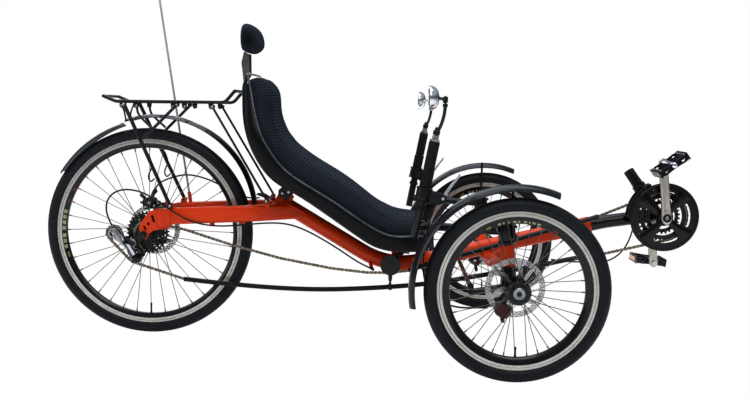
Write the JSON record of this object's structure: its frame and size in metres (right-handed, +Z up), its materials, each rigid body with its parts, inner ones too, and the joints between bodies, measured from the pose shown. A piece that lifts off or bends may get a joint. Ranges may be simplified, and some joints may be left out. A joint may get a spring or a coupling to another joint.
{
  "type": "adult recumbent tricycle",
  "caption": "recumbent tadpole tricycle with under-frame steering, mesh seat with headrest, rear carrier, mudguards, mirrors and a chain drive run through guide tubes",
  "frame": {"origin": "on the ground, half way along and on the centre line of the bounding box", "axes": "+X is forward, +Y is the rider's left, +Z is up"},
  "size_m": [1.9915, 0.992, 1.5384],
  "materials": {
    "frame_paint": "gloss",
    "black_metal": "satin",
    "black_gloss": "gloss",
    "edge_silver": "satin",
    "mesh_fabric": "matte",
    "bracket_metal": "satin",
    "tyre_rubber": "matte",
    "rim_metal": "satin",
    "spoke_steel": "bright",
    "rotor_steel": "brushed",
    "chain_steel": "oiled",
    "tube_plastic": "matte",
    "grip_rubber": "matte",
    "lever_alloy": "satin",
    "crank_alloy": "satin",
    "mirror_case": "polished",
    "pole_fibre": "gloss",
    "pennant_cloth": "matte",
    "calliper_metal": "satin"
  },
  "bodies": {
    "frame": {"main_frame": "frame_paint", "front_boom": "black_metal", "front_derailleur": "black_metal", "seat_shell": "black_gloss", "seat_trim": "edge_silver", "seat_cushion": "mesh_fabric", "seat_brackets": "black_metal", "headrest_bracket": "bracket_metal", "headrest_pad": "mesh_fabric", "rear_rack": "black_metal", "rear_fender": "black_gloss", "flag_pole": "pole_fibre", "flag_pennant": "pennant_cloth", "rear_axle": "rotor_steel", "rear_caliper": "black_metal", "rear_derailleur": "black_metal", "chain": "chain_steel", "chain_tubes": "tube_plastic", "frame_fittings": "black_metal", "cables": "tube_plastic"},
    "rear_wheel": {"rear_tyre": "tyre_rubber", "rear_rim": "rim_metal", "rear_spokes": "spoke_steel", "rear_hub": "black_metal", "rear_rotor": "rotor_steel"},
    "freewheel": {"cassette": "chain_steel"},
    "cranks": {"crankset": "crank_alloy", "chainrings": "black_metal"},
    "right_pedal": {"pedal_right": "tube_plastic"},
    "left_pedal": {"pedal_left": "tube_plastic"},
    "idler": {"idler_pulley": "tube_plastic"},
    "guide_wheel": {"guide_pulley": "tube_plastic"},
    "tension_wheel": {"tension_pulley": "tube_plastic"},
    "tie_link": {"tie_rod": "black_metal"},
    "steering_right": {"steering_knuckle_right": "black_metal", "handlebar_right": "black_metal", "grip_right": "grip_rubber", "front_caliper_right": "calliper_metal", "front_fender_right": "black_gloss"},
    "front_wheel_right": {"front_tyre_right": "tyre_rubber", "front_rim_right": "rim_metal", "front_spokes_right": "spoke_steel", "front_hub_right": "black_metal", "front_rotor_right": "rotor_steel"},
    "lever_right": {"brake_lever_right": "lever_alloy"},
    "twist_right": {"shifter_right": "grip_rubber"},
    "mirror_right": {"mirror_head_right": "mirror_case"},
    "steering_left": {"steering_knuckle_left": "black_metal", "handlebar_left": "black_metal", "grip_left": "grip_rubber", "front_caliper_left": "calliper_metal", "front_fender_left": "black_gloss"},
    "front_wheel_left": {"front_tyre_left": "tyre_rubber", "front_rim_left": "rim_metal", "front_spokes_left": "spoke_steel", "front_hub_left": "black_metal", "front_rotor_left": "rotor_steel"},
    "lever_left": {"brake_lever_left": "lever_alloy"},
    "twist_left": {"shifter_left": "grip_rubber"},
    "mirror_left": {"mirror_head_left": "mirror_case"}
  },
  "joints": [
    {"name": "rear_wheel_spin", "type": "hinge", "parent": "frame", "child": "rear_wheel", "pos_m": [-0.67575, 0, 0.32], "axis": [0, 1, 0], "continuous": true},
    {"name": "crank_spin", "type": "hinge", "parent": "frame", "child": "cranks", "pos_m": [0.89275, 0, 0.4017], "axis": [0, 1, 0], "continuous": true},
    {"name": "freewheel_spin", "type": "hinge", "parent": "frame", "child": "freewheel", "pos_m": [-0.67575, 0, 0.32], "axis": [0, 1, 0], "continuous": true},
    {"name": "right_pedal_spin", "type": "hinge", "parent": "cranks", "child": "right_pedal", "pos_m": [0.87464, -0.14, 0.5657], "axis": [0, 1, 0], "continuous": true},
    {"name": "left_pedal_spin", "type": "hinge", "parent": "cranks", "child": "left_pedal", "pos_m": [0.91086, 0.14, 0.2377], "axis": [0, 1, 0], "continuous": true},
    {"name": "idler_spin", "type": "hinge", "parent": "frame", "child": "idler", "pos_m": [0.07355, -0.046, 0.2373], "axis": [0, 1, 0], "continuous": true},
    {"name": "guide_wheel_spin", "type": "hinge", "parent": "frame", "child": "guide_wheel", "pos_m": [-0.70575, -0.046, 0.259], "axis": [0, 1, 0], "continuous": true},
    {"name": "tension_wheel_spin", "type": "hinge", "parent": "frame", "child": "tension_wheel", "pos_m": [-0.77475, -0.046, 0.319], "axis": [0, 1, 0], "continuous": true},
    {"name": "steer_right", "type": "hinge", "parent": "frame", "child": "steering_right", "pos_m": [0.39025, -0.343, 0.297], "axis": [-0.1038, 0, 0.9946], "range_deg": [-30, 30]},
    {"name": "steer_left", "type": "hinge", "parent": "frame", "child": "steering_left", "pos_m": [0.39025, 0.343, 0.297], "axis": [-0.1038, 0, 0.9946], "range_deg": [-30, 30]},
    {"name": "tie_rod_swing", "type": "hinge", "parent": "steering_right", "child": "tie_link", "pos_m": [0.29101, -0.343, 0.23394], "axis": [-0.1038, 0, 0.9946], "range_deg": [-30, 30]},
    {"name": "front_wheel_right_spin", "type": "hinge", "parent": "steering_right", "child": "front_wheel_right", "pos_m": [0.40525, -0.424, 0.245], "axis": [0, 1, 0], "continuous": true},
    {"name": "brake_lever_right_pull", "type": "hinge", "parent": "steering_right", "child": "lever_right", "pos_m": [0.20825, -0.37, 0.478], "axis": [0, -1, 0], "range_deg": [0, 24], "stiffness_Nm_per_rad": 0.6},
    {"name": "shifter_right_twist", "type": "hinge", "parent": "steering_right", "child": "twist_right", "pos_m": [0.16449, -0.37, 0.5295], "axis": [0.1839, 0, 0.9829], "range_deg": [-60, 60]},
    {"name": "mirror_right_swing", "type": "hinge", "parent": "steering_right", "child": "mirror_right", "pos_m": [0.20725, -0.388, 0.738], "axis": [0, 0, 1], "range_deg": [-25, 25]},
    {"name": "front_wheel_left_spin", "type": "hinge", "parent": "steering_left", "child": "front_wheel_left", "pos_m": [0.40525, 0.424, 0.245], "axis": [0, 1, 0], "continuous": true},
    {"name": "brake_lever_left_pull", "type": "hinge", "parent": "steering_left", "child": "lever_left", "pos_m": [0.20825, 0.37, 0.478], "axis": [0, -1, 0], "range_deg": [0, 24], "stiffness_Nm_per_rad": 0.6},
    {"name": "shifter_left_twist", "type": "hinge", "parent": "steering_left", "child": "twist_left", "pos_m": [0.16449, 0.37, 0.5295], "axis": [0.1839, 0, 0.9829], "range_deg": [-60, 60]},
    {"name": "mirror_left_swing", "type": "hinge", "parent": "steering_left", "child": "mirror_left", "pos_m": [0.20725, 0.388, 0.738], "axis": [0, 0, 1], "range_deg": [-25, 25]}
  ],
  "couplings": [
    {"joint": "freewheel_spin", "follows": "crank_spin", "ratio": 2},
    {"joint": "idler_spin", "follows": "crank_spin", "ratio": -3},
    {"joint": "guide_wheel_spin", "follows": "crank_spin", "ratio": -3.2727},
    {"joint": "tension_wheel_spin", "follows": "crank_spin", "ratio": 3.2727},
    {"joint": "steer_left", "follows": "steer_right", "ratio": 1},
    {"joint": "tie_rod_swing", "follows": "steer_right", "ratio": -1}
  ]
}
